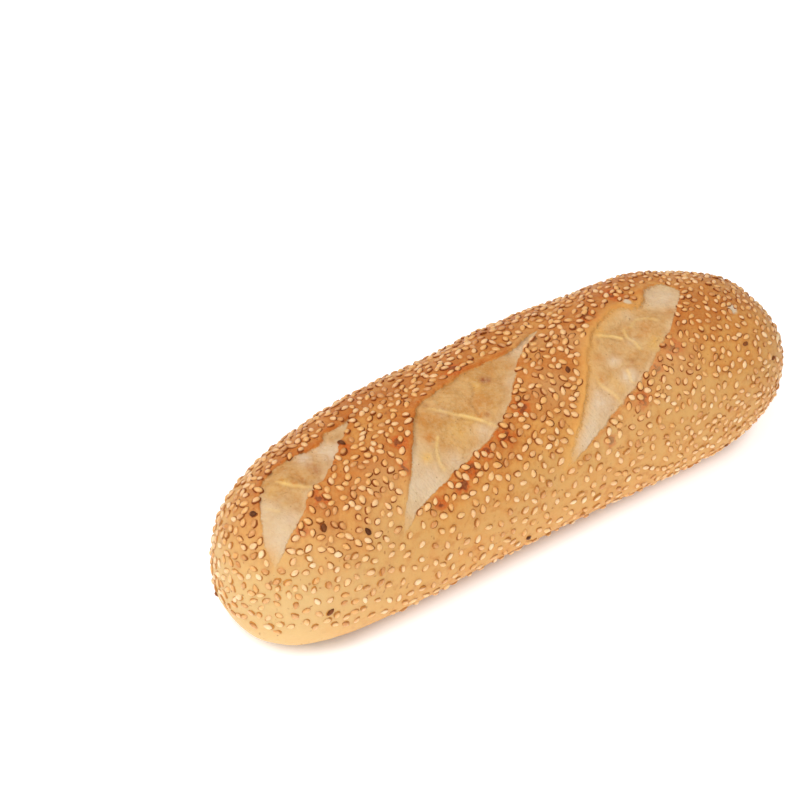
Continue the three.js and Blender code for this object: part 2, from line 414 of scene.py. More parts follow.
# %% Flatten the base and smooth the skin
def apply_modifier(piece, kind, **settings):
    modifier = piece.modifiers.new(kind.lower(), kind)
    for name, value in settings.items():
        setattr(modifier, name, value)
    bpy.context.view_layer.objects.active = piece
    bpy.ops.object.modifier_apply(modifier=modifier.name)


edit_vertices(crust, [vertex.co.z < 0 for vertex in crust.data.vertices])
bpy.ops.transform.resize(value=(1, 1, 0), center_override=(0, 0, 0))
stop_editing()
apply_modifier(crust, "SUBSURF", levels=2, render_levels=2)
print("smoothed:", len(crust.data.vertices), "vertices")

# %% [markdown]
# ## Where the scores are
#
# A score is a slash that the oven has pulled open into a leaf shape. Each edge of the leaf
# bulges away from the straight line between the leaf's far and near tip. What follows needs to
# know, for any point of the crust, how far it is from the nearest torn edge, and whether it is
# inside a score. That distance goes into the mesh as an attribute, which the shaping and the
# colours both read, so that relief and colour can't drift apart. The third score is the only
# one with a blunt far tip, and its left edge runs softly into the crust, without a wall.

# %% The torn edges
SCORES = [
    {
        "far": (-47.3, 12.8),
        "near": (-99.6, -21.2),
        "left": [
            (0.1, 0.3), (0.17, 2.2), (0.22, 3.7), (0.29, 3.2), (0.36, 4.3), (0.41, 7.1),
            (0.51, 11.3), (0.62, 13.5), (0.69, 13.3), (0.76, 11.8), (0.87, 8), (0.96, 4.2),
        ],
        "right": [
            (0.1, 1.6), (0.25, 2.7), (0.39, 4), (0.52, 3.9), (0.64, 2.2), (0.75, 3),
            (0.86, 2), (0.95, 1.2),
        ],
    },
    {
        "far": (25, 9.8),
        "near": (-58, -30.9),
        "left": [
            (0.05, 1.7), (0.16, 3.1), (0.24, 6.5), (0.33, 10), (0.47, 13.6), (0.54, 15.5),
            (0.59, 15.9), (0.67, 13), (0.77, 8.6), (0.85, 5.2), (0.95, 1.9),
        ],
        "right": [
            (0.06, 0.5), (0.13, 0.6), (0.2, 2), (0.28, 4.8), (0.39, 8.3), (0.51, 9.2),
            (0.61, 7.4), (0.74, 4.4), (0.84, 2.2), (0.9, 1), (0.96, 0.8),
        ],
    },
    {
        "far": (73.3, 6.4),
        "near": (5.7, -32.2),
        "left": [
            (0.03, 1.8), (0.07, 3.2), (0.1, 3.4), (0.13, 2.4), (0.185, 1), (0.225, 2.6),
            (0.25, 6), (0.3, 8.5), (0.37, 9.2), (0.45, 9.9), (0.5, 9), (0.59, 7.1),
            (0.66, 4.6), (0.73, 2.8), (0.8, 1.4), (0.91, 0.4),
        ],
        "right": [
            (0.012, 6), (0.04, 8.2), (0.11, 9.7), (0.26, 12), (0.39, 12.1), (0.57, 11),
            (0.67, 8.8), (0.78, 6.4), (0.89, 3.6), (0.96, 1.6),
        ],
    },
]
RAGGED = 0.22 * MM
EDGE_POINTS = 900


def smooth_curve(knots, values, at):
    """A curve through the values at the knots that doesn't turn sharply at them."""
    slopes = np.gradient(values, knots)
    index = np.clip(np.searchsorted(knots, at) - 1, 0, len(knots) - 2)
    gap = knots[index + 1] - knots[index]
    s = np.clip((at - knots[index]) / gap, 0, 1)
    rise = (values[index + 1] - values[index]) * s * s * (3 - 2 * s)
    bend = gap * (slopes[index] * s * (1 - s) ** 2 - slopes[index + 1] * s * s * (1 - s))
    return values[index] + rise + bend


def edge_offset(edge, u):
    """How far an edge stands from the line between the tips, at share u of the way."""
    knots, values = np.array([(0, 0), *edge, (1, 0)]).T
    phase = len(edge)
    tear = np.sin(61 * u + phase) + 0.7 * np.sin(113 * u + 2 * phase)
    tear = tear * np.sin(math.pi * np.clip(u, 0, 1))
    return smooth_curve(knots, values, u) * MM + RAGGED * tear


def score_axes(score):
    far = np.array(score["far"]) * MM
    along = np.array(score["near"]) * MM - far
    length = np.hypot(*along)
    along = along / length
    return far, along, np.array((along[1], -along[0])), length


def score_shares(score, x, y):
    """A place as u, from the far tip to the near one, and v, from the right edge to the left."""
    far, along, left, length = score_axes(score)
    u = ((x - far[0]) * along[0] + (y - far[1]) * along[1]) / length
    across = (x - far[0]) * left[0] + (y - far[1]) * left[1]
    low = -edge_offset(score["right"], u)
    width = np.maximum(edge_offset(score["left"], u) - low, HAIR)
    return u, (across - low) / width


def on_crust(score, u, across):
    """Points at share u of the way between the tips, and this far left of the line."""
    far, along, left, length = score_axes(score)
    x = far[0] + along[0] * u * length + left[0] * across
    y = far[1] + along[1] * u * length + left[1] * across
    return np.stack([x, y, top_height(x, y)], axis=-1)


def score_edge(score, side):
    """Points along a torn edge."""
    u = np.linspace(0, 1, EDGE_POINTS)
    return on_crust(score, u, edge_offset(score[side], u) * (1 if side == "left" else -1))


# %% Measure the crust against the scores
def of_vertices(piece, what):
    """What every vertex of a piece has, "co" for its place or "normal", as rows of three."""
    flat = np.empty(len(piece.data.vertices) * 3, dtype=np.float32)
    piece.data.vertices.foreach_get(what, flat)
    return flat.reshape(-1, 3).astype(float)


def coordinates(piece):
    return of_vertices(piece, "co")


def nearest_point(points, places):
    """For every place, the nearest of the points: its number, and how far off it is."""
    tree = KDTree(len(points))
    for index, point in enumerate(points):
        tree.insert(point, index)
    tree.balance()
    found = [tree.find(place) for place in places]
    return np.array([index for _, index, _ in found]), np.array([gap for _, _, gap in found])


def distance_to(points, places):
    return nearest_point(points, places)[1]


class ScoreField:
    """For every vertex: the nearest score, its u and v, and the distances to its edges."""

    def __init__(self, piece):
        places = coordinates(piece)
        x, y, z = places.T
        edges = [[score_edge(score, side) for side in ("left", "right")] for score in SCORES]
        gaps = np.array([[distance_to(edge, places) for edge in pair] for pair in edges])
        shares = np.array([score_shares(score, x, y) for score in SCORES])
        self.score = gaps.min(axis=1).argmin(axis=0)
        pick = (self.score, slice(None), np.arange(len(x)))
        self.left_gap, self.right_gap = gaps[pick].T
        self.u, self.v = shares[pick].T
        within = (z > WAIST) & (self.u > 0) & (self.u < 1) & (self.v > 0) & (self.v < 1)
        gap = np.minimum(self.left_gap, self.right_gap)
        self.inside = np.where(within, gap, -gap)


field = ScoreField(crust)
print("inside the scores:", int((field.inside > 0).sum()), "vertices")

# %% [markdown]
# ## A finer mesh along the torn edges
#
# The torn edges and the wrinkled crumb are the finest forms on the loaf. The faces there are
# subdivided once more, and the rest stays as it is: detail is spent where the eye looks.

# %% Refine the scores
REFINED = 2 * MM

edit_vertices(crust, field.inside > -REFINED)
bpy.ops.mesh.subdivide(number_cuts=1, smoothness=0)
stop_editing()
field = ScoreField(crust)
print("refined:", len(crust.data.vertices), "vertices")

# %% [markdown]
# ## Relief
#
# A vertex group is a weight for each vertex, and a Displace modifier moves each vertex by its
# weight. So each kind of relief is one list of weights and one height: the slanting humps, the
# sunken floors of the scores, the lips that the oven pulled up beside them, and the folds that
# cross the pale crumb. Clouds of noise then take away the last of the smoothness.

# %% Helpers for relief
LIGHTEST = 0.001


def smooth_step(value, low, high):
    share = np.clip((value - low) / (high - low), 0, 1)
    return share * share * (3 - 2 * share)


def weigh(piece, weights):
    """Gives a piece a vertex group that holds these weights, and returns its name."""
    group = piece.vertex_groups.new(name="weights")
    for index in np.flatnonzero(weights > LIGHTEST):
        group.add([int(index)], float(min(weights[index], 1)), "REPLACE")
    return group.name


def displace(piece, weights, height, direction="NORMAL"):
    """Moves every vertex outwards, or along Z, by its weight times the height."""
    settings = {"vertex_group": weigh(piece, weights), "direction": direction}
    apply_modifier(piece, "DISPLACE", strength=height, mid_level=0, **settings)
    piece.vertex_groups.clear()


def roughen(piece, size, height, weights):
    """Moves the surface in and out by cloud noise of this size, where the weights allow."""
    clouds = bpy.data.textures.new("clouds", "CLOUDS")
    clouds.noise_scale = size
    clouds.noise_depth = 2
    settings = {"texture": clouds, "texture_coords": "LOCAL", "vertex_group": weigh(piece, weights)}
    apply_modifier(piece, "DISPLACE", strength=2 * height, mid_level=0.5, **settings)
    piece.vertex_groups.clear()
    bpy.data.textures.remove(clouds)


# %% Humps
x, y, z = coordinates(crust).T
crown = np.where(z > WAIST, top_lift(x, y) ** (ROUND_TOP / 2), 0)
crown = crown * end_fall(2 * x / LENGTH, END_PROFILE)
hump_share = (1 + hump(x, y) / HUMP) / 2
displace(crust, crown * hump_share, 2 * HUMP, direction="Z")
displace(crust, crown, -HUMP, direction="Z")
print("the crown's humps rise", round(2 * HUMP / MM, 1), "mm over its hollows")

# %% Sunken floors
LEFT_DEPTH = 0.95 * MM
RIGHT_DEPTH = 0.7 * MM
MIDDLE_DEPTH = 0.25 * MM
RIM_REACH = 2.6 * MM
FAR_TIP_SHARE = 0.07
NEAR_TIP_SHARE = 0.3
WALL = (-0.3 * MM, 1.5 * MM)
SOFT_SCORE = 2
SOFTEST = 0.9
SOFT_REACH = 2.6 * MM
SOFT_LIFT = 0.6

tips = smooth_step(field.u, 0, FAR_TIP_SHARE) * smooth_step(1 - field.u, 0, NEAR_TIP_SHARE)
left_rim = np.exp(-field.left_gap / RIM_REACH)
right_rim = np.exp(-field.right_gap / RIM_REACH)
floor_depth = MIDDLE_DEPTH + (LEFT_DEPTH - MIDDLE_DEPTH) * left_rim
floor_depth = floor_depth + (RIGHT_DEPTH - MIDDLE_DEPTH) * right_rim
softness = SOFTEST * np.exp(-((field.left_gap / SOFT_REACH) ** 2))
softness = softness * (field.score == SOFT_SCORE)
floor_depth = floor_depth * (1 - SOFT_LIFT * softness)
inward = smooth_step(field.inside, *WALL)
displace(crust, inward * tips * floor_depth / LEFT_DEPTH, -LEFT_DEPTH)
print("the floors are sunk by up to", round(float(floor_depth[inward > 0].max()) / MM, 2), "mm")

# %% Lips
LIP_HEIGHT = 0.65 * MM
LIP_WIDTH = 3.2 * MM
LIP_CREST = 0.7 * MM
RIGHT_LIP = 0.55
LIP_SHARES = (0.7, 1, 0.85)

outside = -field.inside
right_side = field.right_gap < field.left_gap
lip = smooth_step(outside, 0, LIP_CREST) * smooth_step(field.inside, -LIP_WIDTH, -LIP_CREST)
lip = lip * np.where(right_side, RIGHT_LIP, 1.0)
lip = lip * np.array(LIP_SHARES)[field.score]
lip = lip * smooth_step(field.u, -0.02, 0.1) * smooth_step(-field.u, -0.97, -0.8)
displace(crust, lip, LIP_HEIGHT)
print("lips:", int((lip > 0.5).sum()), "vertices raised by half the lip's height or more")

# %% Grooves below the near tips
GROOVE_LENGTH = 9 * MM
GROOVE_WIDTH = 2.2 * MM
GROOVE_DEPTH = 0.55 * MM


def groove_points(score):
    """Points along a short crease that runs on from the near tip, down the side."""
    length = score_axes(score)[3]
    return on_crust(score, 1 + np.linspace(0, GROOVE_LENGTH, 30) / length, 0)


grooves = np.concatenate([groove_points(score) for score in SCORES])
groove = np.exp(-((distance_to(grooves, coordinates(crust)) / GROOVE_WIDTH) ** 2))
groove = groove * smooth_step(outside, -0.5 * MM, 1 * MM)
displace(crust, groove, -GROOVE_DEPTH)
print("grooves:", len(SCORES), "of", round(GROOVE_LENGTH / MM), "mm")

# %% Folds across the crumb
FOLD_HEIGHT = 0.5 * MM
FOLD_WIDTH = 0.6 * MM
FOLD_SHADE = 0.9 * MM
FURROW_DEPTH = 0.3 * MM
LINE_POINTS = 60
FOLDS = [
    [
        (0.8, [(0.63, 0.72), (0.63, 0.43), (0.61, 0.26), (0.59, 0.08)]),
        (0.4, [(0.8, 0.9), (0.79, 0.5)]),
    ],
    [
        (0.6, [(0.57, 0.85), (0.55, 0.64), (0.53, 0.51)]),
        (1, [(0.53, 0.51), (0.51, 0.35), (0.5, 0.21)]),
        (0.7, [(0.5, 0.21), (0.49, 0.04)]),
        (0.6, [(0.66, 0.56), (0.7, 0.49), (0.73, 0.34), (0.74, 0.18)]),
    ],
    [
        (1, [(0.46, 0.88), (0.43, 0.71), (0.42, 0.58)]),
        (0.6, [(0.37, 0.64), (0.4, 0.52), (0.41, 0.38), (0.43, 0.26)]),
        (0.5, [(0.34, 0.57), (0.29, 0.58), (0.26, 0.49), (0.25, 0.31)]),
        (0.7, [(0.55, 0.28), (0.58, 0.13), (0.57, 0.03)]),
        (0.6, [(0.65, 0.78), (0.67, 0.64), (0.67, 0.44), (0.67, 0.19), (0.68, 0.02)]),
    ],
]
CREASES = [
    [(0.7, [(0.58, 0.5), (0.58, 0.25), (0.56, 0.12)])],
    [
        (0.7, [(0.38, 0.77), (0.41, 0.62), (0.46, 0.52), (0.485, 0.34)]),
        (0.5, [(0.29, 0.44), (0.34, 0.19), (0.41, 0.16)]),
    ],
    [(0.7, [(0.5, 0.34), (0.48, 0.22)]), (0.5, [(0.3, 0.75), (0.38, 0.72)])],
]


def place_in_score(score, u, v):
    low = -edge_offset(score["right"], u)
    return on_crust(score, u, low + (edge_offset(score["left"], u) - low) * v)


def line_weights(lines_of_scores, shift=0):
    """How near each vertex is to a fold, 1 on the line, times that fold's own strength."""
    points, strengths = [], []
    for score, lines in zip(SCORES, lines_of_scores):
        along = np.append(score_axes(score)[1], 0)
        for strength, line in lines:
            knots = np.arange(len(line))
            way = np.linspace(0, knots[-1], LINE_POINTS)
            u, v = (smooth_curve(knots, values, way) for values in np.array(line).T)
            points.extend(place_in_score(score, u, v) + along * shift)
            strengths.extend([strength] * LINE_POINTS)
    nearest, gaps = nearest_point(points, coordinates(crust))
    return np.exp(-((gaps / FOLD_WIDTH) ** 2)) * np.array(strengths)[nearest]


fold = line_weights(FOLDS) * inward
# Beside each fold and along each crease the crumb sinks into a furrow; the same weights paint shade there
# in the crumb's colour.
shaded_furrow = np.maximum(line_weights(FOLDS, FOLD_SHADE), line_weights(CREASES)) * inward
displace(crust, fold, FOLD_HEIGHT)
displace(crust, shaded_furrow, -FURROW_DEPTH)
print("folds:", sum(map(len, FOLDS)), "and creases:", sum(map(len, CREASES)))

# %% Unevenness
above_base = smooth_step(coordinates(crust)[:, 2], 0.5 * MM, 5 * MM)
for noise_size, noise_height, where in (
    (26, 0.5, above_base),
    (8, 0.22, above_base),
    (7, 0.5, inward * tips),
    (3, 0.24, inward),
    (1.2, 0.1, inward),
    (1.6, 0.05, above_base),
):
    roughen(crust, size=noise_size * MM, height=noise_height * MM, weights=where)
bpy.ops.object.shade_smooth()
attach(crust, "root")
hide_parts(LOAF_NODE)
print("the crust is", [round(v / MM, 1) for v in crust.dimensions], "mm")

# %% [markdown]
# ## How the crust has browned
#
# Crust browns where it is highest and driest: on the crown, on the humps and most of all along
# the torn lips, which stand up into the hot air. It stays pale low down and at the left end. The
# middle of the far side is made browner too: partly browning, partly painted shade where that
# side turns away from the front light.
# Spots are placed where it scorched, browned more or less, or kept some flour. All that
# is worked out once for each vertex and kept as attributes, which the material mixes with
# noise. An attribute is part of the mesh, so the pattern stays put from every side.

# %% Browning, as attributes
def set_attribute(piece, name, values):
    attribute = piece.data.attributes.new(name, "FLOAT", "POINT")
    attribute.data.foreach_set("value", np.asarray(values, dtype=np.float32))


LIP_REACH = 3.0 * MM
LEFT_GLOW = (0.85, 0.8, 0.5)
RIGHT_GLOW = (0.8, 0.8, 0.7)
TORN = -0.3 * MM
BY_HEIGHT = 0.6
BY_TILT = 0.3
BY_HUMP = 0.1
LEFT_HALF = 0.05
FAR_SIDE = 0.16
PALER_SHARE = 0.4
BROWNER_SHARE = 0.15
SCORCHED = [
    (-60.1, -1, 2.6), (-77, -13.5, 3), (-87.4, -18.9, 2.2), (-1.4, -16.4, 3), (-11.4, -21.8, 3.2),
    (-20, -23, 2.4), (-27, -25.2, 3), (-32.5, -27.2, 3.2), (-41.5, -28.4, 2.6), (57.5, -20.4, 3.2),
    (48.2, -23.4, 2.4), (38.6, -28.6, 3.2), (23.6, -32, 2.4), (-10.6, 8.6, 4), (40.3, 3.4, 4),
    (-44.4, -9.5, 3), (-48.2, -17.5, 2.6), (54.8, 8.8, 4),
]
FLOURED = [(56.4, 3, 1.6), (87.8, -14.3, 2)]
PALER = [
    (-56.7, -18.8, 8), (-53, -25, 8), (-62, -27, 10), (-85, -26, 10), (-98, -24, 12),
    (25, -31.3, 8), (34, -31, 8), (52.7, -26, 12), (12, -14.7, 7), (18.4, 5.8, 6), (30, -3, 5),
]
BROWNER = [(-37, 3, 9), (-34, 13, 8)]


def glow_round(middle, radius, places):
    """A soft round glow: 1 in the middle, and about a third at the radius, in millimetres."""
    gap = np.linalg.norm(places - middle, axis=1)
    return np.exp(-((gap / (radius * MM)) ** 2))


def spots_on(piece, spots):
    """The glow of spots that are given as x, y and radius in millimetres."""
    places = coordinates(piece)
    glow = np.zeros(len(places))
    for x, y, radius in spots:
        middle = np.array((x * MM, y * MM, top_height(x * MM, y * MM)))
        glow = np.maximum(glow, glow_round(middle, radius, places))
    return glow


x, y, z = coordinates(crust).T
upward = of_vertices(crust, "normal")[:, 2]
lip_glow = np.exp(-np.maximum(outside, 0) / LIP_REACH) * (outside > TORN)
lip_glow = lip_glow * np.array((LEFT_GLOW, RIGHT_GLOW))[right_side.astype(int), field.score]
lip_glow = lip_glow * smooth_step(field.u, -0.1, 0.05) * smooth_step(-field.u, -1.0, -0.75)
scorch = spots_on(crust, SCORCHED) * (outside > TORN)
lip_glow = np.maximum(lip_glow, 0.8 * scorch)

bake_and_shade = BY_HEIGHT * smooth_step(z, 26 * MM, 62 * MM) + BY_TILT * smooth_step(upward, 0.2, 1.0)
bake_and_shade = bake_and_shade + BY_HUMP * hump(x, y) / HUMP + LEFT_HALF * smooth_step(-x, 0, 50 * MM)
# The far side's extra browning is partly painted shade, where it turns away from the front light.
far_side = smooth_step(y, 2 * MM, 16 * MM) * smooth_step(-np.abs(x), -80 * MM, -40 * MM)
bake_and_shade = bake_and_shade + FAR_SIDE * far_side + BROWNER_SHARE * spots_on(crust, BROWNER)
pale_end = smooth_step(-x, 48 * MM, 104 * MM) * smooth_step(-z, -60 * MM, -26 * MM)
print("browning runs from", round(float(bake_and_shade.min()), 2), "to", round(float(bake_and_shade.max()), 2))

# %% Hand the browning to the material
SOFT_MIDDLE = 0.18
SOFT_SLOPE = 0.26

edge = field.inside / MM
soft_edge = SOFT_MIDDLE + SOFT_SLOPE * edge
set_attribute(crust, "score", edge + softness * (soft_edge - edge))
set_attribute(crust, "gilded", softness * smooth_step(field.u, 0.12, 0.35))
set_attribute(crust, "along", field.u)
set_attribute(crust, "lip", lip_glow)
set_attribute(crust, "scorch", scorch)
set_attribute(crust, "bake_and_shade", bake_and_shade)
set_attribute(crust, "pale", np.maximum(pale_end, PALER_SHARE * spots_on(crust, PALER)))
set_attribute(crust, "flour", spots_on(crust, FLOURED))
print("placed by hand:", len(SCORCHED + FLOURED + PALER + BROWNER), "spots")

# %% Crumb, as attributes
TOASTED = [
    [(0.61, 0.4, 1.3, 1), (0.62, 0.67, 1.1, 0.8), (0.56, 0.45, 2.4, 0.3)],
    [
        (0.44, 0.46, 4.5, 0.5), (0.49, 0.32, 1.5, 1), (0.68, 0.67, 2.2, 1), (0.62, 0.8, 4.5, 0.45),
        (0.28, 0.7, 3, 0.35), (0.22, 0.3, 2.5, 0.3),
    ],
    [(0.32, 0.37, 3.4, 0.5), (0.65, 0.66, 1.5, 0.9), (0.57, 0.8, 2, 0.5), (0.17, 0.2, 2.4, 0.5)],
]
BUTTERY = [
    [(0.63, 0.55, 1.6, 1), (0.71, 0.73, 3, 0.5), (0.74, 0.4, 2, 0.4)],
    [(0.75, 0.6, 2.2, 0.9), (0.52, 0.36, 2, 0.8), (0.59, 0.35, 4, 0.35), (0.38, 0.62, 2.4, 0.5)],
    [(0.26, 0.81, 3.5, 0.25), (0.62, 0.29, 3.6, 0.35), (0.37, 0.08, 3.4, 0.7), (0.45, 0.9, 3, 0.5)],
]
FROSTED = [
    [(0.91, 0.31, 4, 0.5), (0.8, 0.21, 2.6, 0.5), (0.33, 0.4, 5, 1), (0.43, 0.75, 3, 0.9)],
    [
        (0.54, 0.13, 3.4, 0.6), (0.3, 0.12, 3.6, 0.25), (0.69, 0.16, 3.2, 0.6), (0.82, 0.3, 6, 0.6),
        (0.56, 0.68, 2, 0.4), (0.12, 0.4, 5, 0.5),
    ],
    [
        (0.57, 0.21, 3.2, 1), (0.73, 0.46, 5, 0.9), (0.54, 0.53, 2.4, 0.8), (0.1, 0.5, 5, 0.7),
        (0.41, 0.42, 1.6, 0.6), (0.87, 0.5, 6, 0.9), (0.27, 0.78, 3.5, 0.4),
    ],
]
SMUDGED = [
    [
        (0.48, 0.31, 2.6, 0.6), (0.54, 0.75, 2.6, 0.2), (0.57, 0.3, 1.2, 0.6),
        (0.5, 0.5, 7, 0.12), (0.74, 0.6, 6, 0.2),
    ],
    [(0.33, 0.57, 1.3, 1), (0.34, 0.64, 1.3, 1), (0.56, 0.93, 1, 0.8), (0.47, 0.24, 1, 0.6)],
    [(0.49, 0.88, 0.9, 0.6), (0.5, 0.28, 0.9, 0.5), (0.3, 0.6, 0.8, 0.4)],
]


def tinted(spots_of_scores):
    """Patches of the crumb, each given as u, v, radius in millimetres and strength."""
    places = coordinates(crust)
    glow = np.zeros(len(places))
    for score, spots in zip(SCORES, spots_of_scores):
        for u, v, radius, strength in spots:
            middle = place_in_score(score, u, v)
            glow = np.maximum(glow, strength * glow_round(middle, radius, places))
    return glow


TINTS = {"toast": TOASTED, "butter": BUTTERY, "frost": FROSTED, "smudge": SMUDGED}
for name, spots in TINTS.items():
    set_attribute(crust, name, tinted(spots))
    print(name, "patches:", sum(map(len, spots)))

# %% Chalky parts and wrinkles, as attributes
CHALK_EDGE = 2.6 * MM
CHALK_AT_EDGE = 0.6
CHALK_AT_FAR_TIP = 0.7
CHALKY = (0.1, 0.05, 0.2)
SLOWER_ACROSS = 5

chalk = smooth_step(field.u, 0.62, 0.84)
at_edge = np.exp(-((field.right_gap / CHALK_EDGE) ** 2))
chalk = np.maximum(chalk, CHALK_AT_EDGE * at_edge)
chalk = np.maximum(chalk, CHALK_AT_FAR_TIP * smooth_step(-field.u, -0.3, -0.1))
chalk = np.maximum(chalk, np.array(CHALKY)[field.score])
set_attribute(crust, "chalk", chalk)
set_attribute(crust, "fold", fold)
set_attribute(crust, "shaded_furrow", shaded_furrow)

# Wrinkles lie across the scores: the pattern's place runs fast along them and slowly across.
wrinkling = crust.data.attributes.new("wrinkling", "FLOAT_VECTOR", "POINT")
lengths = np.array([score_axes(score)[3] for score in SCORES])[field.score]
slow_across = field.right_gap / SLOWER_ACROSS
wrinkling_places = np.stack([field.u * lengths, slow_across, field.score * 0.1], axis=1)
wrinkling.data.foreach_set("vector", wrinkling_places.astype(np.float32).ravel())
print("wrinkles run across scores of", np.unique(np.round(lengths / MM)), "mm")

# %% [markdown]
# ## The crust's material
#
# One material does the crust and the crumb in the scores, because they are one skin: the
# distance attribute decides which shows, with a sharp but slightly ragged border. The crust is
# layered from pale to brown by the browning, which includes painted shade on the far side, is
# darker round each seed, partly as painted contact shade, is broken up by blotches, and has a dry
# sheen. The crumb is matte and floury, yellower along its folds, with toasted patches and painted
# shade in its furrows.

# %% Noises and the browned crust
bread = Nodes("baked_crust")
blotches = bread.noise(0.013, detail=4, seed=3)
mottling = bread.noise(0.0035, detail=4, roughness=0.6, seed=7)
grain = bread.noise(0.0009, detail=3, roughness=0.7, seed=11)

# The browning read here carries the far side's painted shade as well.
browned_and_shaded = bread.math("ADD", bread.attribute("bake_and_shade"), bread.ramp(blotches, 0.25, 0.75, -0.24, 0.24))
browned_and_shaded = bread.math("ADD", browned_and_shaded, bread.ramp(mottling, 0.25, 0.75, -0.14, 0.14))
orange = bread.ramp(bread.noise(0.006, detail=3, seed=19), 0.48, 0.7, 0, 0.6)
crust_colour = bread.coats(
    srgb(214, 161, 92),
    (bread.ramp(browned_and_shaded, 0.0, 0.5), srgb(216, 153, 78)),
    (bread.ramp(browned_and_shaded, 0.5, 1.15), srgb(188, 108, 40)),
    (bread.times(orange, bread.ramp(browned_and_shaded, 0.1, 0.7, 0.35, 1)), srgb(208, 120, 36)),
    # Darker round each seed: partly toasted dough, partly painted contact shade.
    (bread.times(bread.attribute("seed_toast_and_shade"), bread.ramp(browned_and_shaded, 0, 0.8, 0.2, 0.66)), srgb(184, 98, 30)),
)

# %% Scorched lips, specks and flour
scorched = bread.times(bread.attribute("lip"), bread.ramp(mottling, 0.2, 0.65, 0.4, 1.15))
charring = bread.ramp(bread.noise(0.0022, detail=3, seed=61), 0.32, 0.62, 0.3, 1.3)
burnt = bread.times(bread.attribute("scorch"), charring)
smudges = bread.ramp(bread.noise(0.0028, detail=3, seed=21), 0.52, 0.7, 0, 0.45)
specks = bread.ramp(bread.noise(0.002, detail=1, seed=23), 0.68, 0.76, 0, 0.6)
floury = bread.times(bread.attribute("flour"), bread.ramp(mottling, 0.2, 0.6, 0.3, 1))
crust_colour = bread.coats(
    crust_colour,
    (bread.ramp(scorched, 0.12, 0.9), srgb(190, 98, 22)),
    (bread.ramp(scorched, 0.8, 1.1, 0, 0.7), srgb(138, 62, 14)),
    (bread.ramp(burnt, 0.15, 0.6, 0, 0.8), srgb(198, 88, 18)),
    (bread.ramp(burnt, 0.65, 1.0, 0, 0.9), srgb(122, 48, 10)),
    (smudges, srgb(186, 108, 40)),
    (bread.times(bread.attribute("pale"), 0.85), srgb(224, 187, 127)),
    (specks, srgb(150, 76, 26)),
    (bread.ramp(grain, 0.35, 0.8, 0, 0.22), srgb(228, 178, 108)),
    (bread.ramp(floury, 0.2, 0.6), srgb(222, 198, 166)),
)

# %% Crumb colours
crumb_patches = bread.noise(0.006, detail=4, seed=31)
crumb_grain = bread.noise(0.0013, detail=4, roughness=0.7, seed=37)
crumb_flecks = bread.ramp(bread.noise(0.0026, detail=3, seed=41), 0.42, 0.66)
chalky = bread.times(bread.attribute("chalk"), bread.ramp(crumb_patches, 0.3, 0.7, 1, 0.65))
uneven = bread.ramp(bread.noise(0.0045, detail=4, roughness=0.6, seed=53), 0.3, 0.62, 0.6, 1.15)
swirls = bread.math("ABSOLUTE", bread.math("SUBTRACT", bread.noise(0.009, detail=2, seed=67), 0.5))
veins = bread.times(bread.ramp(swirls, 0.0, 0.03, 0.35, 0), bread.ramp(chalky, 0.1, 0.6, 1, 0))
crumb_colour = bread.coats(
    srgb(212, 162, 98),
    (bread.ramp(crumb_patches, 0.36, 0.64), srgb(196, 138, 68)),
    (bread.times(crumb_flecks, 0.35), srgb(198, 136, 66)),
    (chalky, srgb(218, 190, 152)),
    (bread.times(bread.attribute("butter"), uneven), srgb(224, 172, 88)),
    (bread.times(bread.attribute("frost"), uneven), srgb(221, 193, 162)),
    (bread.times(bread.attribute("toast"), uneven), srgb(196, 120, 40)),
    (bread.times(bread.attribute("smudge"), uneven), srgb(146, 60, 12)),
    # Painted shade in the furrows beside the folds and along the creases.
    (bread.attribute("shaded_furrow"), srgb(172, 122, 68)),
    (veins, srgb(186, 132, 70)),
    (bread.attribute("fold"), srgb(250, 210, 132)),
    (bread.ramp(bread.noise(0.0012, detail=1, seed=47), 0.7, 0.78, 0, 0.6), srgb(146, 98, 50)),
    (bread.ramp(crumb_grain, 0.35, 0.75, 0, 0.28), srgb(226, 198, 150)),
)

# %% Join crust and crumb
WRINKLE = 1.1 * MM

ragged = bread.math("ADD", bread.attribute("score"), bread.ramp(grain, 0.2, 0.8, -0.35, 0.35))
is_crumb = bread.ramp(ragged, 0.1, 0.7)
faded = bread.ramp(bread.math("MULTIPLY_ADD", mottling, 0.08, bread.attribute("along")), 0.94, 1.05, 1, 0.2)
is_crumb = bread.times(is_crumb, faded)
gilded = bread.times(bread.attribute("gilded"), bread.ramp(mottling, 0.25, 0.65, 0.55, 1))
skin_colour = bread.mix(is_crumb, crust_colour, crumb_colour)
skin_colour = bread.mix(bread.times(gilded, 0.75), skin_colour, srgb(231, 170, 90))
skin_roughness = bread.math("MULTIPLY_ADD", is_crumb, 0.3, 0.52)

relief = bread.math("MULTIPLY_ADD", mottling, 0.7, bread.times(grain, 0.4))
creased = bread.noise(WRINKLE, detail=2, place=bread.attribute("wrinkling", "Vector"))
wrinkles = bread.times(creased, bread.times(chalky, is_crumb))
relief = bread.math("MULTIPLY_ADD", wrinkles, 0.9, relief)
relief = bread.math("MULTIPLY_ADD", bread.times(crumb_grain, is_crumb), 0.6, relief)
bread.bump(relief, distance=0.0007, strength=0.7)
crust.data.materials.append(
    bread.finish(
        Base_Color=skin_colour,
        Roughness=skin_roughness,
        Specular_IOR_Level=0.2,
        Subsurface_Weight=0.08,
        Subsurface_Scale=0.002,
        Subsurface_Radius=(1.0, 0.5, 0.25),
    )
)
print("the bread's material has", len(bread.tree.nodes), "nodes")

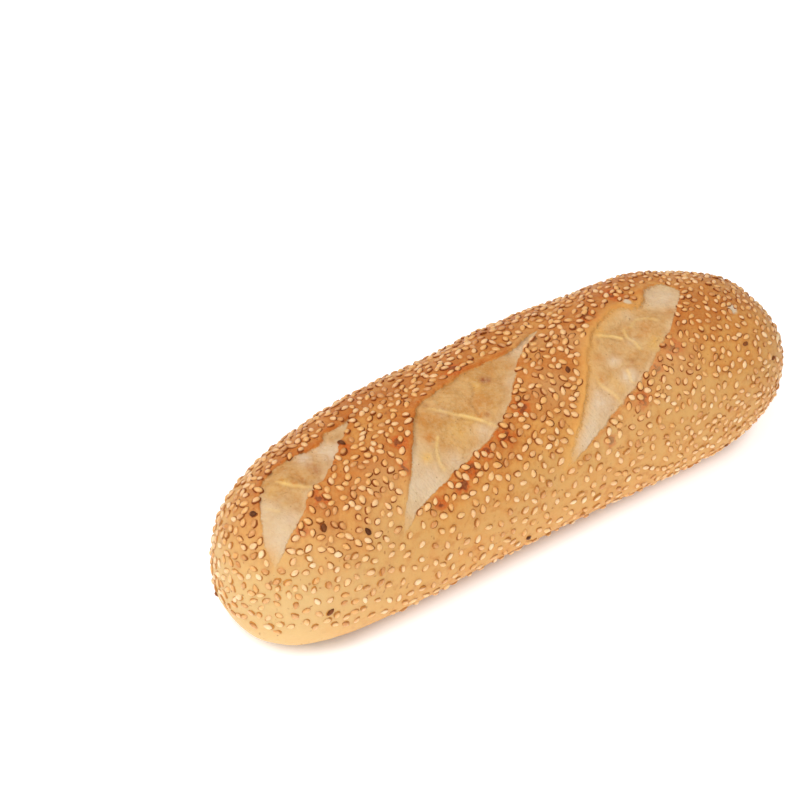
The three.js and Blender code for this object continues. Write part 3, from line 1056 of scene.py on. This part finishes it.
# %% [markdown]
# ## One sesame seed
#
# A hulled sesame seed is a flat drop, about 3 mm long. It starts as a sphere, is scaled flat,
# and one end is pulled to a point. Only its upper part shows, so the lower half is cut off. The
# baked dough creeps up around each seed and browns there first. So the cut edge is extruded
# outwards into a thin skirt, which draws the dark outline that seeds have on bread: its dark
# colour is partly toasted dough and partly painted contact shade at the seed's foot.

# %% Model the seed
SEED_LENGTH = 2.7 * MM
SEED_WIDTH = 1.85 * MM
SEED_THICKNESS = 1.25 * MM
POINTED = 0.38
LONGER_TIP = 0.1


def model_seed():
    nothing_selected()
    bpy.ops.mesh.primitive_uv_sphere_add(segments=10, ring_count=6, radius=0.5)
    seed = bpy.context.object
    seed.name = "one_seed"
    bpy.ops.object.mode_set(mode="EDIT")
    bpy.ops.mesh.select_all(action="SELECT")
    bpy.ops.mesh.bisect(plane_co=(0, 0, -0.05), plane_no=(0, 0, -1), clear_outer=True)
    bpy.ops.mesh.select_all(action="SELECT")
    size = (SEED_LENGTH, SEED_WIDTH, SEED_THICKNESS)
    bpy.ops.transform.resize(value=size, center_override=(0, 0, 0))
    stop_editing()
    for vertex in seed.data.vertices:
        ahead = max(0, vertex.co.x / (SEED_LENGTH / 2))
        vertex.co.y *= 1 - POINTED * ahead**1.5
        vertex.co.x *= 1 + LONGER_TIP * ahead
    return seed


# %% Add the toasted skirt
SKIRT_WIDTH = 1.2
SKIRT_SLOPE = 0.05 * MM
SKIRT_ROOT = 0.35 * MM


def add_skirt(seed):
    """Extrudes the seed's open lower edge outwards, then down, and closes it underneath."""
    lowest = min(vertex.co.z for vertex in seed.data.vertices)
    edit_vertices(seed, [vertex.co.z < lowest + HAIR for vertex in seed.data.vertices])
    bpy.ops.mesh.extrude_region_move(TRANSFORM_OT_translate={"value": (0, 0, -SKIRT_SLOPE)})
    wider = 1 + (SKIRT_WIDTH - 1) * SEED_LENGTH / SEED_WIDTH
    bpy.ops.transform.resize(value=(SKIRT_WIDTH, wider, 1), center_override=(0, 0, 0))
    bpy.ops.mesh.extrude_region_move(TRANSFORM_OT_translate={"value": (0, 0, -SKIRT_ROOT)})
    bpy.ops.mesh.edge_face_add()
    bpy.ops.mesh.select_all(action="SELECT")
    bpy.ops.mesh.normals_make_consistent(inside=False)
    stop_editing()


one_seed = model_seed()
waist_of_seed = min(vertex.co.z for vertex in one_seed.data.vertices)
add_skirt(one_seed)
one_seed.data.calc_loop_triangles()
print("one seed has", len(one_seed.data.loop_triangles), "triangles")

# %% [markdown]
# ## Scattering the seeds
#
# Seeds are pressed on before baking: close together on the crown, wider apart down the sides,
# none on the torn crumb, because the scores opened later, and none where the loaf lay on the
# tray. Points are drawn at random in a box round the loaf, and each one that comes close to the
# crust gives a place on it. Each place asks for its own clearance, and it is kept if no seed
# lies closer than that, so that the seeds spread evenly and still look strewn. The draw starts
# from a fixed number and doesn't ask how the mesh numbers its faces, which can differ from run
# to run. So it comes out the same each time.

# %% How far apart the seeds lie
SEED_DRAW = 20
CROWN_SPACING = 2.5 * MM
CROWN = (28 * MM, 51 * MM)
SIDE_SPACINGS = [(-110, 2.8), (-75, 3.4), (-45, 4.1), (0, 3.9), (40, 3.1), (70, 2.4), (110, 2.3)]
SPACING_SPREAD = 0.16
BARE_FOOT = 4 * MM
BARE_LEFT_FOOT = 12 * MM
RAGGED_FOOT = 4 * MM
BARE_EDGE = 0.5 * MM
BARE_LIPS = (0.9 * MM, 1.7 * MM, 2.5 * MM)


def seed_spacings(places, inside, left_gap, right_gap, score):
    """The clearance that a seed needs at each place, and none at all where seeds don't lie."""
    x, y, z = places.T
    side = np.interp(x / MM, *np.array(SIDE_SPACINGS).T) * MM
    spacing = side + (CROWN_SPACING - side) * smooth_step(z, *CROWN)
    foot = BARE_FOOT + BARE_LEFT_FOOT * smooth_step(-x, 40 * MM, 100 * MM)
    bare = z < foot + RAGGED_FOOT * np.random.default_rng(SEED_DRAW).random(len(x))
    bare = bare | (inside > -BARE_EDGE)
    bare_lip = np.array(BARE_LIPS)[np.round(score).astype(int)]
    bare = bare | ((left_gap < right_gap) & (inside > -bare_lip))
    return np.where(bare, np.inf, spacing)


# %% Draw the places
SHELL = 1.5 * MM
DRAWS = 240000

rng = np.random.default_rng(SEED_DRAW)
box_low, box_high = np.array(low_corner) - SHELL, np.array(high_corner) + SHELL
bpy.context.view_layer.update()
blends = []
for draw in rng.uniform(box_low, box_high, (DRAWS, 3)):
    found, place, _, face = crust.closest_point_on_mesh(draw, distance=SHELL)
    if found:
        corners = list(crust.data.polygons[face].vertices)
        weights = poly_3d_calc([crust.data.vertices[corner].co for corner in corners], place)
        blends.append((corners, np.array(weights)))
candidates = len(blends)
print("places drawn:", candidates)


def at_drawn(values):
    """Values at the drawn places, blended from the corners of the faces they lie on."""
    return np.array([weights @ values[corners] for corners, weights in blends])


places = coordinates(crust)
drawn_places = at_drawn(places)
drawn_field = [at_drawn(v) for v in (field.inside, field.left_gap, field.right_gap, field.score)]
spacings = seed_spacings(drawn_places, *drawn_field)
spacings = spacings * (1 + SPACING_SPREAD * rng.uniform(-1, 1, DRAWS)[:candidates])

kept = []
for index in np.flatnonzero(np.isfinite(spacings)):
    gaps = np.linalg.norm(drawn_places[kept] - drawn_places[index], axis=1)
    if not kept or gaps.min() > spacings[index]:
        kept.append(int(index))
seed_places = drawn_places[kept]
seed_normals = at_drawn(of_vertices(crust, "normal"))[kept]
# Seeds take the crust's browning, the far side's painted shade included.
seed_bake_and_shade = at_drawn(bake_and_shade - 0.5 * pale_end)[kept]
print("seeds kept:", len(kept))

# %% Darker crust round the seeds: partly toasting, partly painted contact shade
HALO_IN = 1.0 * MM
HALO_OUT = 2.0 * MM

seed_toast_and_shade = smooth_step(-distance_to(seed_places, places), -HALO_OUT, -HALO_IN)
set_attribute(crust, "seed_toast_and_shade", seed_toast_and_shade)
print("darker between seeds:", round(float((seed_toast_and_shade > 0.5).mean()) * 100), "% of the crust's vertices")

# %% [markdown]
# ## Copying the seed
#
# Each kept place gets a copy of the one seed, turned and tilted a little at random and sunk
# into the crust. All copies of a kind are joined into one mesh: creamy ones, golden ones,
# toasted ones and a few dark ones. Each copy also carries its own tone, an attribute that its
# material reads.

# %% Where each seed lies
TILT = 0.15
RAISED = 0.14 * MM
SETTLED = 0.22 * MM
SIZE_RANGE = (0.92, 1.14)
STRETCH_RANGE = (0.9, 1.1)
SKIRT_RANGE = (0.94, 1.09)
RIGHT_SHRINK = 0.16
SEED_RIM = 0.42 * MM
KINDS = {"creamy": 0.28, "golden": 0.5, "toasted": 0.215, "dark": 0.005}

seed_shape = coordinates(one_seed)
seed_faces = [list(polygon.vertices) for polygon in one_seed.data.polygons]
below_waist = seed_shape[:, 2] < waist_of_seed - HAIR
seed_is_skirt = [bool(below_waist[face].any()) for face in seed_faces]
# Each corner's share of the darker colour low on a seed's sides: partly toasting, partly painted shade.
seed_rim = smooth_step(-seed_shape[:, 2], -SEED_RIM, -waist_of_seed)
# Every place has its own chances, drawn for all places before any is picked.
kind_of = rng.choice(list(KINDS), size=DRAWS, p=list(KINDS.values()))[kept]
tones = rng.uniform(0, 1, DRAWS)[kept]
spins = rng.uniform(0, 2 * math.pi, DRAWS)[kept]
tilts = rng.normal(0, TILT, (DRAWS, 3))[kept]
sizes = rng.uniform(*SIZE_RANGE, DRAWS)[kept]
stretches = rng.uniform(*STRETCH_RANGE, (DRAWS, 3))[kept]
heights = (RAISED - SETTLED * rng.uniform(0, 1, DRAWS))[kept]
skirts = rng.uniform(*SKIRT_RANGE, DRAWS)[kept]
print("seeds are", round(sizes.min(), 2), "to", round(sizes.max(), 2), "times the one seed's size")


def seed_pose(index):
    """Where a seed's corners come to lie: on the crust, turned, tilted and scaled."""
    normal = Vector(seed_normals[index]).normalized()
    upright = (normal + Vector(tilts[index])).normalized().to_track_quat("Z", "Y").to_matrix()
    spin = Matrix.Rotation(spins[index], 3, "Z")
    smaller = RIGHT_SHRINK * smooth_step(seed_places[index][0], 20 * MM, 75 * MM)
    scale = stretches[index] * sizes[index] * (1 - smaller)
    pose = np.array(upright @ spin) @ np.diag(scale)
    shape = seed_shape.copy()
    shape[below_waist, :2] *= skirts[index]
    return shape @ pose.T + seed_places[index] + np.array(normal) * heights[index]


# %% Join the seeds of a kind
def join_seeds(kind):
    """One mesh of all the seeds of a kind, each with its own tone."""
    members = np.flatnonzero(kind_of == kind)
    copies = len(members)
    corners_of_all = np.concatenate([seed_pose(index) for index in members])
    faces_of_all = []
    for base in range(0, len(corners_of_all), len(seed_shape)):
        faces_of_all.extend([[base + corner for corner in face] for face in seed_faces])
    mesh = bpy.data.meshes.new(f"{kind}_seeds")
    mesh.from_pydata(corners_of_all, [], faces_of_all)
    seeds = bpy.data.objects.new(f"{kind}_seeds", mesh)
    bpy.context.scene.collection.objects.link(seeds)
    set_attribute(seeds, "tone", np.repeat(tones[members], len(seed_shape)))
    set_attribute(seeds, "bake_and_shade", np.repeat(seed_bake_and_shade[members], len(seed_shape)))
    set_attribute(seeds, "rim", np.tile(seed_rim, copies))
    mesh.polygons.foreach_set("material_index", np.tile(seed_is_skirt, copies).astype(np.int32))
    mesh.polygons.foreach_set("use_smooth", np.ones(len(faces_of_all), dtype=bool))
    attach(seeds, "root")
    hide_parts(LOAF_NODE)
    print(kind, "seeds:", copies)
    return seeds


# %% Seed materials
def seed_material(name, pale, deep, edge, gloss):
    """Oily toasted sesame: its own tone, streaked, and browner down its sides, partly toasting and partly
    painted shade at its foot.
    """
    hull = Nodes(name)
    streaks = hull.noise(0.0009, detail=3, seed=5)
    tone = hull.math("ADD", hull.attribute("tone"), hull.ramp(streaks, 0.3, 0.7, -0.25, 0.25))
    colour = hull.mix(hull.ramp(tone, 0.0, 1.0), pale, deep)
    deeper = hull.ramp(hull.attribute("bake_and_shade"), 0.2, 0.9, 0.0, 0.75)
    colour = hull.mix(deeper, colour, deep)
    # Darker towards the foot of the seed: partly toasting, partly painted contact shade.
    colour = hull.mix(hull.times(hull.attribute("rim"), 0.85), colour, edge)
    hull.bump(streaks, distance=0.0002, strength=0.4)
    return hull.finish(
        Base_Color=colour,
        Roughness=0.3,
        Specular_IOR_Level=gloss,
        Subsurface_Weight=0.1,
        Subsurface_Scale=0.001,
    )


def skirt_material():
    """The toasted rim of dough around a seed, darker where the crust is darker; its dark outline is partly
    painted contact shade.
    """
    rim = Nodes("toasted_rim_and_shade")
    toast = rim.ramp(rim.noise(0.0025, detail=3, seed=9), 0.3, 0.7, -0.2, 0.2)
    toast = rim.math("ADD", rim.attribute("bake_and_shade"), toast)
    # Its dark brown is partly toasted dough, partly painted shade at the seed's foot.
    colour = rim.mix(rim.ramp(toast, -0.3, 0.8), srgb(204, 138, 64), srgb(140, 68, 20))
    rim.bump(rim.noise(0.0006), distance=0.0002, strength=0.5)
    return rim.finish(Base_Color=colour, Roughness=0.55, Specular_IOR_Level=0.15)


# Each kind: pale tone, deep tone, the darker colour low on its sides, which is partly painted shade, and
# gloss.
SEED_COLOURS = {
    "creamy": (srgb(247, 213, 162), srgb(236, 184, 122), srgb(172, 100, 40), 0.6),
    "golden": (srgb(242, 197, 134), srgb(229, 168, 92), srgb(162, 90, 30), 0.6),
    "toasted": (srgb(234, 182, 120), srgb(208, 142, 74), srgb(150, 84, 30), 0.5),
    "dark": (srgb(150, 84, 34), srgb(84, 44, 18), srgb(66, 34, 14), 0.15),
}
rim_and_shade_material = skirt_material()
for kind, colours in SEED_COLOURS.items():
    seeds = join_seeds(kind)
    seeds.data.materials.append(seed_material(f"{kind}_sesame", *colours))
    seeds.data.materials.append(rim_and_shade_material)
bpy.data.objects.remove(one_seed)
